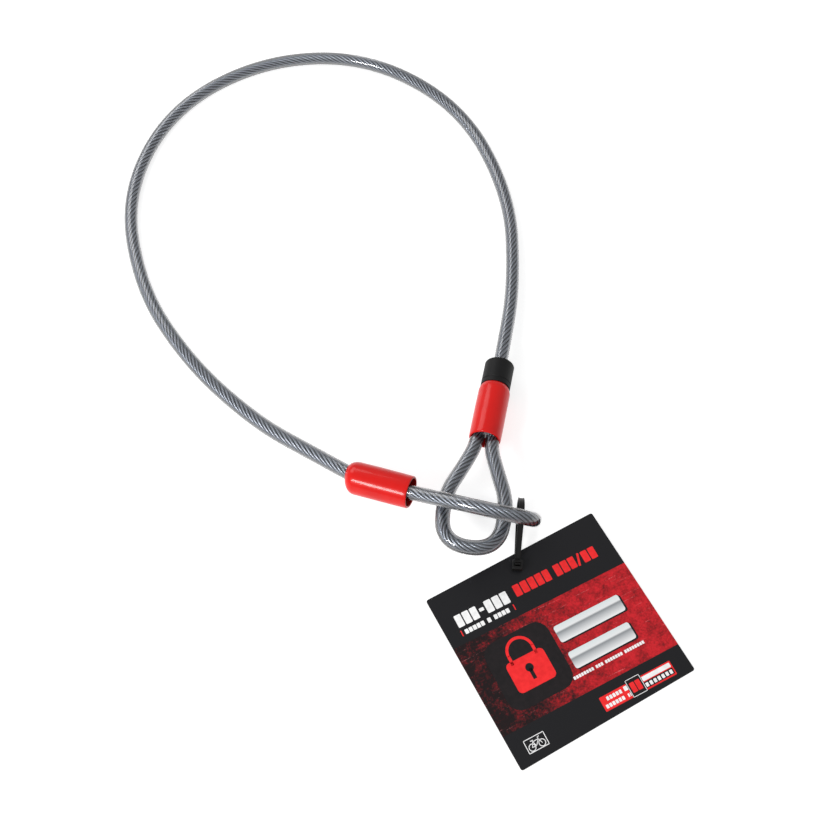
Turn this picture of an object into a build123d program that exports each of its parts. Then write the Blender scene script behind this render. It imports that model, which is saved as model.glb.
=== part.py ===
from build123d import *
import math
import os

# Looped security cable for a bicycle: one jacketed wire rope lying in an open
# loop, both ends folded back into eyes.  Millimetres, +Z up, table at Z = 0,
# the eyes and the hang tag towards -Y.

os.makedirs("parts", exist_ok=True)

# ---------------------------------------------------------------- sizes
D_CABLE = 10.0                 # outside of the clear jacket
D_ROPE = 4.4                   # steel rope under the jacket
R_CABLE = D_CABLE / 2
R_ROPE = D_ROPE / 2
LEG_GAP = 0.1                  # between the two ropes side by side
LEG = R_CABLE + LEG_GAP / 2    # half their spacing in a ferrule

CAP_GAP = 0.3                  # from the two ropes to the inside of the cap
CAP_WALL = 0.85
CAP_LENGTH = 47.5
CAP_ROUND = 9.0                # shoulder radius at the closed end
CAP_BACK = 1.6                 # thickness of the closed end
CAP_TAPER = 0.25               # the soft mouth draws in by this
CAP_TAPER_RUN = 9.0
CAP_LIP = (0.3, 0.4)           # edge of the mouth, across and along
CAP_FLARE = (0.1, 5.0)         # the bore opens at the mouth, across and along
CAP_SEAM_TURN = 37             # degrees; keeps the seam off the cut for the cable
R_CAP_IN = LEG + R_CABLE + CAP_GAP
R_CAP = R_CAP_IN + CAP_WALL

FERRULE_INSET = 4.0            # behind the mouth of its cap
FERRULE_LENGTH = 16.0
FERRULE_GAP = 0.35             # to the inside of the cap
FERRULE_WALL = 1.9             # over and under the ropes
FERRULE_FRONT = -FERRULE_INSET
FERRULE_BACK = FERRULE_FRONT - FERRULE_LENGTH
FERRULE_HALF_W = R_CAP_IN - FERRULE_GAP
FERRULE_HALF_T = R_ROPE + FERRULE_WALL
BAND_STARTS = (3.4, 9.6)       # the two grooves that the press leaves
BAND_WIDTH = 3.0
BAND_DEPTH = 0.3

COLLAR_LENGTH = 20.5
COLLAR_OVERLAP = 4.3           # it covers this much of the cap's shoulder
COLLAR_GAP = 0.05              # from its rim to the shoulder
COLLAR_RIM_WALL = 0.575
COLLAR_STEP = 0.9              # the cup narrows by this behind the rim
COLLAR_STEP_RUN = 2.6
COLLAR_CUP_DEPTH = 9.5
COLLAR_BORE_GAP = 0.3
COLLAR_GROOVE = (3.3, 4.4, 0.35)   # from the rim: start, end and depth
COLLAR_EDGE = 0.3
COLLAR_TOP_ROUND = 1.0
COLLAR_BORE_EDGE = 0.5

TIE_WIDTH = 3.8
TIE_THICK = 1.2
TIE_UNDER_GAP = 0.29           # from the strap to the tag that lies over it
TIE_BEND_SHARE = 0.42          # bend tangent, of the shorter run next to it
HEAD_SEAT = 0.15               # from the tag to the head
HEAD_H = 5.0
HEAD_WALLS = (2.2, 1.25)       # round the slot, along and across the strap
HEAD_CORNER = 1.0
SLOT_PLAY = (1.0, 0.5)
PAWL = (0.6, 3.4, 2.4)         # along, across and high
PAWL_AT = (0.85, 1.0)          # from the middle of the slot, over its foot
TAIL = 0.6                     # what stands out of the head

TAG_WIDTH = 128.0
TAG_HEIGHT = 120.0
TAG_THICK = 1.0
TAG_CORNER = 1.5
TAG_HOLE_R = 3.0
TAG_HOLE_INSET = 8.5           # from the top edge

CORD_BEND_SHARE = 0.45         # bend tangent, of the shorter run next to it


# ---------------------------------------------------------------- frames
def unit(v):
    v = Vector(*v)
    return v / v.length


class Frame:
    """mouth point, axis (towards the eye) and the side the two legs spread to"""

    def __init__(self, mouth, axis, side):
        self.m = Vector(*mouth)
        self.a = unit(axis)
        s = Vector(*side)
        self.w = unit(s - self.a * s.dot(self.a))
        self.n = self.a.cross(self.w)

    def at(self, s, t=0.0, n=0.0):
        return self.m + self.a * s + self.w * t + self.n * n

    def plane(self, s=0.0):
        return Plane(origin=self.at(s), x_dir=self.w, z_dir=self.a)


MOUTH_A = (23.8, -120.6, 20.65)
MOUTH_B = (74.0, -80.5, 17.9)
CAP_A = Frame(MOUTH_A, (0.932, -0.327, 0.156), (-0.16, -0.35, 0.92))
EYE_A = Frame(MOUTH_A, (0.963, -0.262, 0.070), (-0.16, -0.35, 0.92))
CAP_B = Frame(MOUTH_B, (-0.208, -0.974, 0.087), (1.0, 0.0, 0.0))
EYE_B = Frame(MOUTH_B, (-0.161, -0.983, 0.087), (1.0, 0.0, 0.0))


# ---------------------------------------------------------------- routes
def corner_radii(points, share):
    """bend radius at every inner point, from a share of the shorter run next to it"""
    radii = []
    for before, here, after in zip(points, points[1:], points[2:]):
        one, two = here - before, after - here
        half = math.radians(one.get_angle(two)) / 2
        radii.append(share * min(one.length, two.length) / math.tan(half))
    return radii


def route(points, radii):
    return Wire(FilletPolyline(*points, radius=radii).edges())


def tube(path, outer, inner=None):
    start = path @ 0
    section = Plane(origin=start, z_dir=path % 0)
    face = Face(Wire(section * Edge.make_circle(outer)))
    if inner:
        face = Face(Wire(section * Edge.make_circle(outer)),
                    [Wire(section * Edge.make_circle(inner))])
    return Solid.sweep(face, path=path)


def report_route(name, points, radii, solid, path, area):
    print(f"{name}: length {path.length:.1f} mm, bends "
          + " ".join(f"{r:.0f}" for r in radii)
          + f", volume / (section x length) = {solid.volume / (area * path.length):.4f}")


# main run: out of cap B, round the open loop, into cap A
main_points = [
    CAP_B.at(-12, -LEG),
    CAP_B.at(-27, -LEG),
    CAP_B.at(-43.5),
    CAP_B.at(-77),
    Vector(101, 52.5, 8.2),
    Vector(102, 140.5, 5.3),
    Vector(65, 234.5, 5.0),
    Vector(-13, 290.5, 5.0),
    Vector(-100, 287.5, 5.0),
    Vector(-174, 234.5, 5.0),
    Vector(-203, 144.5, 5.0),
    Vector(-181, 53.5, 5.0),
    Vector(-137, -12.5, 5.1),
    Vector(-85, -61.5, 6.5),
    Vector(-43, -87.5, 9.8),
    CAP_A.at(-43.5, 0, -1.5),
    CAP_A.at(-27, LEG),
    CAP_A.at(-12, LEG),
]


def eye_points(cap, eye, out, near, wide, tip, first, last):
    """one leg out of the ferrule, round the eye and back: (s, t) pairs"""
    pts = [cap.at(first, out * LEG), cap.at(5, out * LEG)]
    pts += [eye.at(s, out * t) for s, t in (near, wide, tip)]
    pts += [eye.at(s, -out * t) for s, t in (tip, wide, near)]
    pts += [cap.at(5, -out * LEG), cap.at(last, -out * LEG)]
    return pts


# eye A stands on edge and eye B lies through it
eye_a_points = eye_points(CAP_A, EYE_A, 1, (20, 12.4), (47, 22), (83, 17.6), -12, -18)
eye_b_points = eye_points(CAP_B, EYE_B, -1, (22, 11), (48, 21.6), (81.5, 17.6), -12, -18)


def cable(name, points, start, end):
    """rope along the whole route; jacket between the two given end points"""
    radii = corner_radii(points, CORD_BEND_SHARE)
    rope_path = route(points, radii)
    rope = tube(rope_path, R_ROPE)
    jacket_path = route([start] + points[1:-1] + [end], radii)
    jacket = tube(jacket_path, R_CABLE, R_ROPE)
    report_route(name + " rope", points, radii, rope, rope_path, math.pi * R_ROPE ** 2)
    report_route(name + " jacket", points, radii, jacket, jacket_path,
                 math.pi * (R_CABLE ** 2 - R_ROPE ** 2))
    return rope, jacket


main_rope, main_jacket = cable(
    "main run", main_points,
    CAP_B.at(FERRULE_BACK, -LEG), CAP_A.at(FERRULE_BACK, LEG))
eye_a_rope, eye_a_jacket = cable(
    "eye A", eye_a_points,
    CAP_A.at(FERRULE_FRONT, LEG), CAP_A.at(FERRULE_FRONT, -LEG))
eye_b_rope, eye_b_jacket = cable(
    "eye B", eye_b_points,
    CAP_B.at(FERRULE_FRONT, -LEG), CAP_B.at(FERRULE_FRONT, LEG))


# ---------------------------------------------------------------- ferrules
def oval(plane, grow=0.0):
    return plane * SlotOverall(2 * (FERRULE_HALF_W + grow), 2 * (FERRULE_HALF_T + grow),
                               mode=Mode.PRIVATE)


def ferrule(frame):
    """pressed oval sleeve with two bands squeezed in by the press"""
    body = extrude(oval(frame.plane(FERRULE_BACK)), FERRULE_LENGTH)
    for start in BAND_STARTS:
        foot = frame.plane(FERRULE_BACK + start)
        outside = extrude(oval(foot, 2 * BAND_DEPTH), BAND_WIDTH)
        kept = extrude(oval(foot, -BAND_DEPTH), BAND_WIDTH)
        body -= outside - kept
    return body


ferrule_a = ferrule(CAP_A) - main_rope - eye_a_rope
ferrule_b = ferrule(CAP_B) - main_rope - eye_b_rope


# ---------------------------------------------------------------- end caps
def cap(frame):
    """soft vinyl thimble: open mouth at s = 0, rounded closed end behind"""
    back = -CAP_LENGTH
    flat = R_CAP - CAP_ROUND
    mid = CAP_ROUND * math.sqrt(0.5)
    lip_across, lip_along = CAP_LIP
    mouth = R_CAP - CAP_TAPER
    outer = [
        Line((0, back), (flat, back)),
        ThreePointArc((flat, back), (flat + mid, back + CAP_ROUND - mid),
                      (R_CAP, back + CAP_ROUND)),
        Line((R_CAP, back + CAP_ROUND), (R_CAP, -CAP_TAPER_RUN)),
        Line((R_CAP, -CAP_TAPER_RUN), (mouth, -lip_along)),
        Line((mouth, -lip_along), (mouth - lip_across, 0)),
    ]
    flare_across, flare_along = CAP_FLARE
    r_in = CAP_ROUND - CAP_WALL
    mid_in = r_in * math.sqrt(0.5)
    inner_back = back + CAP_BACK
    inner = [
        Line((mouth - lip_across, 0), (R_CAP_IN + flare_across, 0)),
        Line((R_CAP_IN + flare_across, 0), (R_CAP_IN, -flare_along)),
        Line((R_CAP_IN, -flare_along), (R_CAP_IN, inner_back + r_in)),
        ThreePointArc((R_CAP_IN, inner_back + r_in),
                      (R_CAP_IN - r_in + mid_in, inner_back + r_in - mid_in),
                      (R_CAP_IN - r_in, inner_back)),
        Line((R_CAP_IN - r_in, inner_back), (0, inner_back)),
        Line((0, inner_back), (0, back)),
    ]
    profile = Face(Wire([e.edge() for e in outer + inner]))
    turned = revolve(Plane.XZ * profile, Axis.Z, 360)
    return Location(frame.plane()) * Rot(0, 0, CAP_SEAM_TURN) * turned


def cable_end(points):
    """solid cable along the first part of a route, to cut the cap's back with"""
    radii = corner_radii(points, CORD_BEND_SHARE)
    return tube(route(points[:4], radii[:2]), R_CABLE)


cap_b = cap(CAP_B) - cable_end(main_points)
cap_a = cap(CAP_A) - cable_end(main_points[::-1])


# ---------------------------------------------------------------- collar
def collar_profile():
    """cup that slides on the cable and sits over the shoulder of cap B"""
    rim = COLLAR_OVERLAP - CAP_LENGTH
    top = rim - COLLAR_LENGTH
    shoulder = math.sqrt(CAP_ROUND ** 2 - (CAP_ROUND - COLLAR_OVERLAP) ** 2)
    rim_in = R_CAP - CAP_ROUND + shoulder + COLLAR_GAP
    outside = rim_in + COLLAR_RIM_WALL
    cup = rim_in - COLLAR_STEP
    bore = R_CABLE + COLLAR_BORE_GAP
    groove_start, groove_end, groove_depth = COLLAR_GROOVE
    pts = [
        (rim_in, rim),
        (outside, rim - COLLAR_EDGE),
        (outside, rim - groove_start),
        (outside - groove_depth, rim - groove_start - COLLAR_EDGE),
        (outside - groove_depth, rim - groove_end + COLLAR_EDGE),
        (outside, rim - groove_end),
        (outside, top + COLLAR_TOP_ROUND),
        (outside - 0.35 * COLLAR_TOP_ROUND, top + 0.3 * COLLAR_TOP_ROUND),
        (outside - COLLAR_TOP_ROUND, top),
        (bore + COLLAR_BORE_EDGE, top),
        (bore, top + COLLAR_BORE_EDGE),
        (bore, rim - COLLAR_CUP_DEPTH),
        (cup, rim - COLLAR_CUP_DEPTH),
        (cup, rim - COLLAR_STEP_RUN),
    ]
    return Face(Wire.make_polygon([(r, s, 0) for r, s in pts], close=True))


collar = Location(CAP_B.plane()) * revolve(
    Plane.XZ * collar_profile(), Axis.Z, 360)


# ---------------------------------------------------------------- hang tag
TAG_HEADING = math.radians(28.6)            # direction of its top edge
TAG_LIFT = math.radians(1.15)               # the top edge rests on the tie
HOLE_AT = (93.55, -166.29)
tag_u = unit((math.cos(TAG_HEADING), math.sin(TAG_HEADING), 0))
tag_v = unit((-tag_u.Y, tag_u.X, math.tan(TAG_LIFT)))
tag_n = tag_u.cross(tag_v)
hole_up = TAG_HEIGHT - TAG_HOLE_INSET       # from the bottom edge, which lies on the table
hole_low = Vector(*HOLE_AT, hole_up * math.sin(TAG_LIFT))
hole_top = hole_low + tag_n * TAG_THICK
tag_centre = hole_low - tag_v * (hole_up - TAG_HEIGHT / 2)
tag_plane = Plane(origin=tag_centre, x_dir=tag_u, z_dir=tag_n)
tag_outline = RectangleRounded(TAG_WIDTH, TAG_HEIGHT, TAG_CORNER, mode=Mode.PRIVATE)
tag_hole = Pos(0, hole_up - TAG_HEIGHT / 2) * Circle(TAG_HOLE_R, mode=Mode.PRIVATE)
tag = extrude(tag_plane * (tag_outline - tag_hole), TAG_THICK)

# ---------------------------------------------------------------- cable tie
# a slack loop in one upright plane: x runs from the tag's hole to the far end
tie_along = unit((0.085, 0.996, 0))
tie_plane = Plane(origin=(*HOLE_AT, 0), x_dir=tie_along,
                  z_dir=tie_along.cross(Vector(0, 0, 1)))
Z_HEAD = hole_top.Z + HEAD_SEAT
Z_UNDER = hole_low.Z - TIE_THICK / 2 - TIE_UNDER_GAP   # middle of the lower leg

loop_points = [
    (2.6, Z_HEAD + 1.4),
    (8.5, Z_HEAD + 2.2),
    (27.5, 24.6),
    (38.5, 23.6),
    (46.0, 12.5),
    (40.0, Z_UNDER + 0.3),
    (24.0, Z_UNDER - 0.2),
    (4.0, Z_UNDER - 0.35),
    (0.0, Z_UNDER + 1.2),
    (0.0, Z_HEAD + HEAD_H + TAIL),
]
tie_line = [tie_plane.from_local_coords(Vector(x, y, 0)) for x, y in loop_points]
tie_path = route(tie_line, corner_radii(tie_line, TIE_BEND_SHARE))
strap_section = Plane(origin=tie_path @ 0, x_dir=tie_plane.z_dir, z_dir=tie_path % 0)
strap = sweep(strap_section * Rectangle(TIE_WIDTH, TIE_THICK, mode=Mode.PRIVATE), path=tie_path)
slot_size = (TIE_THICK + SLOT_PLAY[0], TIE_WIDTH + SLOT_PLAY[1])
head_size = (slot_size[0] + 2 * HEAD_WALLS[0], slot_size[1] + 2 * HEAD_WALLS[1])
head_plane = Plane(origin=(*HOLE_AT, Z_HEAD), x_dir=tie_along, z_dir=(0, 0, 1))
head = extrude(head_plane * RectangleRounded(*head_size, HEAD_CORNER, mode=Mode.PRIVATE), HEAD_H)
slot = extrude(head_plane * Rectangle(*slot_size, mode=Mode.PRIVATE), HEAD_H)
pawl_face = Pos(PAWL_AT[0], 0) * Rectangle(PAWL[0], PAWL[1], mode=Mode.PRIVATE)
pawl = extrude(head_plane.offset(PAWL_AT[1]) * pawl_face, PAWL[2])
tie = (head - slot) + strap + pawl

# ---------------------------------------------------------------- output
nodes = {
    "main_rope": main_rope,
    "main_jacket": main_jacket,
    "eye_a_rope": eye_a_rope,
    "eye_a_jacket": eye_a_jacket,
    "eye_b_rope": eye_b_rope,
    "eye_b_jacket": eye_b_jacket,
    "ferrule_a": ferrule_a,
    "ferrule_b": ferrule_b,
    "cap_a": cap_a,
    "cap_b": cap_b,
    "collar": collar,
    "cable_tie": tie,
    "hang_tag": tag,
}
low = [1e9] * 3
high = [-1e9] * 3
for name, shape in nodes.items():
    box = shape.bounding_box()
    for i, (a, b) in enumerate(zip(tuple(box.min), tuple(box.max))):
        low[i], high[i] = min(low[i], a), max(high[i], b)
    print(f"{name}: solids {len(shape.solids())}, volume {shape.volume:.0f}, "
          f"z {box.min.Z:.2f}..{box.max.Z:.2f}")
    shape.label = name
    export_step(shape, f"parts/{name}.step")
print("box", [round(v, 2) for v in low], [round(v, 2) for v in high])
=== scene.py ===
import bpy
import math
from mathutils import Matrix, Vector


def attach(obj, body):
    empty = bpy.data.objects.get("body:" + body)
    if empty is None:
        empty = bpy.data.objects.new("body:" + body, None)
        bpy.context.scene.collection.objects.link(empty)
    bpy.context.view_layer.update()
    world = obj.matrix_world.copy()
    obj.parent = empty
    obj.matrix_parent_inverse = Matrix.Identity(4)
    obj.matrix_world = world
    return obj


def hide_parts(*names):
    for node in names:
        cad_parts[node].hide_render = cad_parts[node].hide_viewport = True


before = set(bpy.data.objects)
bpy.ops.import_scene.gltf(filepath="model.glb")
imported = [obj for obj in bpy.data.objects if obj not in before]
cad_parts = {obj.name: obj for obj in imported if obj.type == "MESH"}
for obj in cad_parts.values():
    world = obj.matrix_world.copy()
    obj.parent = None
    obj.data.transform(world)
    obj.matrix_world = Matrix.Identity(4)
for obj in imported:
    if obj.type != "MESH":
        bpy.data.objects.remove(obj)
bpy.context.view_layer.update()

# Looped security cable of a bicycle: a steel rope in a clear jacket, an eye at each
# end, red vinyl caps over the ferrules, a sliding collar and a printed tag on a tie.
# Metres, +Z up, table at Z = 0; sizes are written in millimetres times MM.
MM = 0.001

# ---------------------------------------------------------------- sizes
R_CABLE = 5.0 * MM             # clear jacket
R_ROPE = 2.2 * MM              # steel rope inside it
LEG = 5.05 * MM                # half spacing of the two ropes in a ferrule
STRANDS = 6                    # outer strands that show through the jacket
LAY_LENGTH = 29.5 * MM         # one turn of the right-hand lay
SMOKE_PER_MM = 0.25            # how strongly the jacket darkens with depth
TAG_HEIGHT = 120 * MM
TAG_THICK = 1.0 * MM

bpy.ops.object.select_all(action="DESELECT")


# ---------------------------------------------------------------- small tools
def linear(hex_colour):
    """sRGB hex to the linear colour that the shaders take"""
    parts = [int(hex_colour[i:i + 2], 16) / 255 for i in (1, 3, 5)]
    return tuple(c / 12.92 if c <= 0.04045 else ((c + 0.055) / 1.055) ** 2.4 for c in parts) + (1.0,)


def add_node(tree, kind, inputs=None, stops=None, **settings):
    """a shader node with its settings, its ramp stops and what its inputs take"""
    made = tree.nodes.new(kind)
    for name, value in settings.items():
        setattr(made, name, value)
    if stops:
        marks = made.color_ramp.elements
        for mark, (place, colour) in zip(marks, (stops[0], stops[-1])):
            mark.position, mark.color = place, colour
        for place, colour in stops[1:-1]:
            marks.new(place).color = colour
    for name, value in (inputs or {}).items():
        if isinstance(value, bpy.types.NodeSocket):
            tree.links.new(value, made.inputs[name])
        else:
            made.inputs[name].default_value = value
    return made


class Frame:
    """mouth point in mm, axis towards the eye and the side the two legs spread to"""

    def __init__(self, mouth, axis, side):
        self.mouth = Vector(mouth) * MM
        self.axis = Vector(axis).normalized()
        side = Vector(side)
        self.side = (side - self.axis * side.dot(self.axis)).normalized()
        self.normal = self.axis.cross(self.side)

    def at(self, s, t=0.0, n=0.0):
        return self.mouth + (self.axis * s + self.side * t + self.normal * n) * MM


MOUTH_A = (23.8, -120.6, 20.65)
MOUTH_B = (74.0, -80.5, 17.9)
CAP_A = Frame(MOUTH_A, (0.932, -0.327, 0.156), (-0.16, -0.35, 0.92))
EYE_A = Frame(MOUTH_A, (0.963, -0.262, 0.070), (-0.16, -0.35, 0.92))
CAP_B = Frame(MOUTH_B, (-0.208, -0.974, 0.087), (1.0, 0.0, 0.0))
EYE_B = Frame(MOUTH_B, (-0.161, -0.983, 0.087), (1.0, 0.0, 0.0))

# ---------------------------------------------------------------- camera
CAMERA_PLACE = (0.024, -0.3939, 0.6650)
CAMERA_TILT = 27.416           # degrees from straight down
CAMERA_LENS = 45.93            # mm, on a sensor 36 mm wide

camera_data = bpy.data.cameras.new("camera")
camera_data.lens = CAMERA_LENS
camera_data.sensor_width = 36
camera = bpy.data.objects.new("camera", camera_data)
camera.location = CAMERA_PLACE
camera.rotation_euler = (math.radians(CAMERA_TILT), 0, 0)
bpy.context.scene.collection.objects.link(camera)
bpy.context.scene.camera = camera

# ---------------------------------------------------------------- routes
LEG_MM = LEG / MM
main_route = [
    CAP_B.at(-20, -LEG_MM),
    CAP_B.at(-27, -LEG_MM),
    CAP_B.at(-43.5),
    CAP_B.at(-77),
    Vector((101, 52.5, 8.2)) * MM,
    Vector((102, 140.5, 5.3)) * MM,
    Vector((65, 234.5, 5.0)) * MM,
    Vector((-13, 290.5, 5.0)) * MM,
    Vector((-100, 287.5, 5.0)) * MM,
    Vector((-174, 234.5, 5.0)) * MM,
    Vector((-203, 144.5, 5.0)) * MM,
    Vector((-181, 53.5, 5.0)) * MM,
    Vector((-137, -12.5, 5.1)) * MM,
    Vector((-85, -61.5, 6.5)) * MM,
    Vector((-43, -87.5, 9.8)) * MM,
    CAP_A.at(-43.5, 0, -1.5),
    CAP_A.at(-27, LEG_MM),
    CAP_A.at(-20, LEG_MM),
]


def eye_route(cap, eye, out, near, wide, tip):
    """out of the ferrule on one side, round the eye and back on the other"""
    there = [eye.at(s, out * t) for s, t in (near, wide, tip)]
    back = [eye.at(s, -out * t) for s, t in (tip, wide, near)]
    return ([cap.at(-4, out * LEG_MM), cap.at(5, out * LEG_MM)] + there + back
            + [cap.at(5, -out * LEG_MM), cap.at(-4, -out * LEG_MM)])


eye_a_route = eye_route(CAP_A, EYE_A, 1, (20, 12.4), (47, 22), (83, 17.6))
eye_b_route = eye_route(CAP_B, EYE_B, -1, (22, 11), (48, 21.6), (81.5, 17.6))


def jacket(name, route, resolution):
    """the clear jacket: one smooth spline through the route, 10 mm across"""
    curve = bpy.data.curves.new(name, "CURVE")
    curve.dimensions = "3D"
    curve.resolution_u = resolution
    curve.bevel_depth = R_CABLE
    curve.bevel_resolution = 7
    curve.use_fill_caps = True
    spline = curve.splines.new("NURBS")
    spline.points.add(len(route) - 1)
    for point, place in zip(spline.points, route):
        point.co = (*place, 1)
    spline.order_u = 3
    spline.use_endpoint_u = True
    spline.use_smooth = True
    made = bpy.data.objects.new(name, curve)
    bpy.context.scene.collection.objects.link(made)
    return made


def centre_line(piece):
    """the points down the middle of a jacket, from a copy with no thickness"""
    bare = bpy.data.objects.new("bare", piece.data.copy())
    bare.data.bevel_depth = 0
    mesh = bpy.data.meshes.new_from_object(bare)
    line = [vertex.co.copy() for vertex in mesh.vertices]
    bpy.data.meshes.remove(mesh)
    bpy.data.curves.remove(bare.data)
    return line


main_jacket = jacket("main_jacket_pvc", main_route, 60)
eye_a_jacket = jacket("eye_a_jacket_pvc", eye_a_route, 28)
eye_b_jacket = jacket("eye_b_jacket_pvc", eye_b_route, 28)
main_line = centre_line(main_jacket)
eye_a_line = centre_line(eye_a_jacket)
eye_b_line = centre_line(eye_b_jacket)


# ---------------------------------------------------------------- materials
def new_material(name):
    """an empty material with its output, and the tree that it is built in"""
    material = bpy.data.materials.new(name)
    material.use_nodes = True
    tree = material.node_tree
    tree.nodes.clear()
    return material, tree, tree.nodes.new("ShaderNodeOutputMaterial")


def clear_smoky_pvc():
    """plasticised PVC, extruded over the rope: smoky, so that it darkens with its depth
    and most at the edges, with a soft gloss and the faint waviness that the die leaves;
    lamps reach the rope through it"""
    material, tree, output = new_material("clear_smoky_pvc")
    place = add_node(tree, "ShaderNodeTexCoord").outputs["Object"]
    waves = add_node(tree, "ShaderNodeTexNoise",
                     {"Vector": place, "Scale": 1 / (9 * MM), "Detail": 2.0})
    bump = add_node(tree, "ShaderNodeBump",
                    {"Height": waves.outputs["Fac"], "Strength": 0.06, "Distance": 0.4 * MM})
    pvc = add_node(tree, "ShaderNodeBsdfPrincipled",
                   {"Base Color": (1, 1, 1, 1), "Roughness": 0.07, "IOR": 1.53,
                    "Transmission Weight": 1.0, "Normal": bump.outputs["Normal"],
                    "Coat Weight": 0.7, "Coat Roughness": 0.2})
    lamp_light = add_node(tree, "ShaderNodeBsdfTransparent", {"Color": (1, 1, 1, 1)})
    rays = add_node(tree, "ShaderNodeLightPath")
    mixed = add_node(tree, "ShaderNodeMixShader", {0: rays.outputs["Is Shadow Ray"]})
    tree.links.new(pvc.outputs[0], mixed.inputs[1])
    tree.links.new(lamp_light.outputs[0], mixed.inputs[2])
    tree.links.new(mixed.outputs[0], output.inputs["Surface"])
    smoke = add_node(tree, "ShaderNodeVolumeAbsorption",
                     {"Color": (0.30, 0.31, 0.33, 1), "Density": SMOKE_PER_MM / MM})
    tree.links.new(smoke.outputs[0], output.inputs["Volume"])
    return material


def bright_steel_wire():
    """drawn steel wire, laid up in strands: bright metal with fine wires that run
    round each strand, painted lighter on each wire's crown, and painted shade darkening the valleys between
    strands"""
    material, tree, output = new_material("bright_steel_wire")
    along = add_node(tree, "ShaderNodeUVMap", uv_map="along_and_round").outputs["UV"]
    parts = add_node(tree, "ShaderNodeSeparateXYZ", {"Vector": along})
    # six wires round a strand, one turn in 11 mm the other way from the rope's lay
    turn = add_node(tree, "ShaderNodeMath", {0: parts.outputs["X"], 1: -6 / 11.0}, operation="MULTIPLY")
    wires = add_node(tree, "ShaderNodeMath", {0: parts.outputs["Y"], 1: 6.0, 2: turn.outputs[0]},
                     operation="MULTIPLY_ADD")
    ridge = add_node(tree, "ShaderNodeMath", {0: wires.outputs[0], 1: 0.5}, operation="PINGPONG")
    # 0 on the crown of a strand, 0.5 on the side towards the core
    round_it = add_node(tree, "ShaderNodeMath", {0: parts.outputs["Y"], 1: 0.5}, operation="PINGPONG")
    place = add_node(tree, "ShaderNodeTexCoord").outputs["Object"]
    patches = add_node(tree, "ShaderNodeTexNoise", {"Vector": place, "Scale": 1 / (5 * MM), "Detail": 2.0})
    # painted shade and highlight: each fine wire is coloured lighter on its crown and darker into the grooves
    # between wires
    bright = add_node(tree, "ShaderNodeValToRGB", {"Fac": ridge.outputs[0]},
                      stops=[(0.0, linear("#CFD4DB")), (0.25, linear("#E2E7EE")), (0.5, linear("#EEF2F8"))])
    # painted shade: each strand's colour darkens from its crown down into the valleys, where its neighbours
    # and the core shade it
    painted_shade = add_node(tree, "ShaderNodeValToRGB", {"Fac": round_it.outputs[0]},
                      stops=[(0.09, linear("#F4F6FA")), (0.16, linear("#CACDD2")), (0.23, linear("#83868C"))])
    shade = add_node(tree, "ShaderNodeMix", {"Factor": 1.0, 6: bright.outputs["Color"],
                                             7: painted_shade.outputs["Color"]},
                     data_type="RGBA", blend_type="MULTIPLY")
    rough = add_node(tree, "ShaderNodeMapRange",
                     {"Value": patches.outputs["Fac"], "To Min": 0.38, "To Max": 0.52})
    bump = add_node(tree, "ShaderNodeBump",
                    {"Height": ridge.outputs[0], "Strength": 0.18, "Distance": 0.12 * MM})
    steel = add_node(tree, "ShaderNodeBsdfPrincipled",
                     {"Base Color": shade.outputs[2], "Metallic": 1.0,
                      "Roughness": rough.outputs[0], "Normal": bump.outputs["Normal"]})
    tree.links.new(steel.outputs[0], output.inputs["Surface"])
    return material


def dark_shade_core():
    """the inner strands: the same wire, painted near black as the shade deep inside the rope"""
    material, tree, output = new_material("dark_shade_core")
    place = add_node(tree, "ShaderNodeTexCoord").outputs["Object"]
    painted_shade = add_node(tree, "ShaderNodeTexNoise", {"Vector": place, "Scale": 1 / (2 * MM)})
    # painted shade: the core's colour is near black, for the shade between and under the strands
    colour = add_node(tree, "ShaderNodeValToRGB", {"Fac": painted_shade.outputs["Fac"]},
                      stops=[(0.3, linear("#232426")), (0.7, linear("#3A3C3F"))])
    core = add_node(tree, "ShaderNodeBsdfPrincipled",
                    {"Base Color": colour.outputs["Color"], "Metallic": 0.6, "Roughness": 0.5})
    tree.links.new(core.outputs[0], output.inputs["Surface"])
    return material


def red_dipped_vinyl():
    """soft PVC dipped on a former: bright red, glossy under a thin coat
    and slightly uneven"""
    material, tree, output = new_material("red_dipped_vinyl")
    place = add_node(tree, "ShaderNodeTexCoord").outputs["Object"]
    runs = add_node(tree, "ShaderNodeTexNoise", {"Vector": place, "Scale": 1 / (14 * MM), "Detail": 2.0})
    skin = add_node(tree, "ShaderNodeTexNoise", {"Vector": place, "Scale": 1 / (0.9 * MM), "Detail": 2.0})
    colour = add_node(tree, "ShaderNodeValToRGB", {"Fac": runs.outputs["Fac"]},
                      stops=[(0.3, linear("#C50C08")), (0.7, linear("#CE110C"))])
    height = add_node(tree, "ShaderNodeMath", {0: skin.outputs["Fac"], 1: 0.012, 2: runs.outputs["Fac"]},
                      operation="MULTIPLY_ADD")
    bump = add_node(tree, "ShaderNodeBump",
                    {"Height": height.outputs[0], "Strength": 0.25, "Distance": 0.8 * MM})
    rough = add_node(tree, "ShaderNodeMapRange",
                     {"Value": skin.outputs["Fac"], "To Min": 0.26, "To Max": 0.32})
    vinyl = add_node(tree, "ShaderNodeBsdfPrincipled",
                     {"Base Color": colour.outputs["Color"], "Roughness": rough.outputs[0],
                      "IOR": 1.45, "Specular IOR Level": 0.15, "Coat Weight": 0.32,
                      "Coat Roughness": 0.12, "Normal": bump.outputs["Normal"]})
    tree.links.new(vinyl.outputs[0], output.inputs["Surface"])
    return material


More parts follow.
